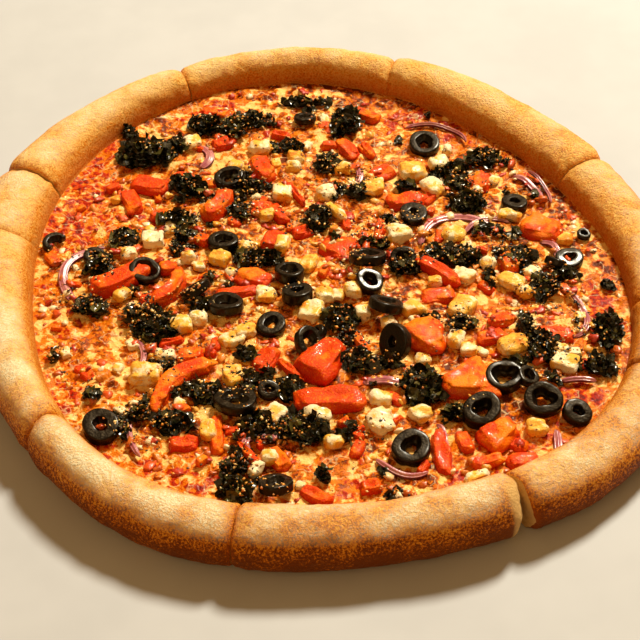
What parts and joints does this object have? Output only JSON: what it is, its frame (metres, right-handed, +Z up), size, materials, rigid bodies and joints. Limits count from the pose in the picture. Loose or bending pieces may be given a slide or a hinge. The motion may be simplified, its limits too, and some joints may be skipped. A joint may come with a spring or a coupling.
{
  "type": "greek pizza",
  "caption": "Round cut pizza with a puffy bread rim, melted cheese, black olive rings, tomato, feta, spinach and red onion.",
  "frame": {"origin": "centre of the underside's bounding rectangle, on the surface the pizza rests on", "axes": "+Z up, +X to the right and +Y away from the viewer of the picture"},
  "size_m": [0.3611, 0.3646, 0.0292],
  "materials": {
    "crust": "baked bread crust, golden tan, finely speckled, matt",
    "cheese": "melted cheese with browned spots and oil sheen over tomato sauce",
    "olive": "black olive slice, wet sheen",
    "tomato": "roasted tomato, wet orange-red flesh",
    "feta": "crumbly white cheese, browned yellow on top",
    "spinach": "baked dark green spinach, crinkled, slightly shiny"
  },
  "bodies": {
    "root": {"feta_1": "feta", "feta_2": "feta", "olive_1": "olive", "olive_10": "olive", "olive_11": "olive", "olive_12": "olive", "olive_13": "olive", "olive_14": "olive", "olive_15": "olive", "olive_16": "olive", "olive_17": "olive", "olive_18": "olive", "olive_19": "olive", "olive_2": "olive", "olive_20": "olive", "olive_21": "olive", "olive_3": "olive", "olive_4": "olive", "olive_5": "olive", "olive_6": "olive", "olive_7": "olive", "olive_8": "olive", "olive_9": "olive", "slice_10_cheese": "cheese", "slice_10_crust": "crust", "slice_1_cheese": "cheese", "slice_1_crust": "crust", "slice_2_cheese": "cheese", "slice_2_crust": "crust", "slice_3_cheese": "cheese", "slice_3_crust": "crust", "slice_4_cheese": "cheese", "slice_4_crust": "crust", "slice_5_cheese": "cheese", "slice_5_crust": "crust", "slice_6_cheese": "cheese", "slice_6_crust": "crust", "slice_7_cheese": "cheese", "slice_7_crust": "crust", "slice_8_cheese": "cheese", "slice_8_crust": "crust", "slice_9_cheese": "cheese", "slice_9_crust": "crust", "spinach_1": "spinach", "spinach_2": "spinach", "spinach_3": "spinach", "tomato_1": "tomato", "tomato_10": "tomato", "tomato_11": "tomato", "tomato_12": "tomato", "tomato_13": "tomato", "tomato_14": "tomato", "tomato_2": "tomato", "tomato_3": "tomato", "tomato_4": "tomato", "tomato_5": "tomato", "tomato_6": "tomato", "tomato_7": "tomato", "tomato_8": "tomato", "tomato_9": "tomato"}
  },
  "joints": []
}
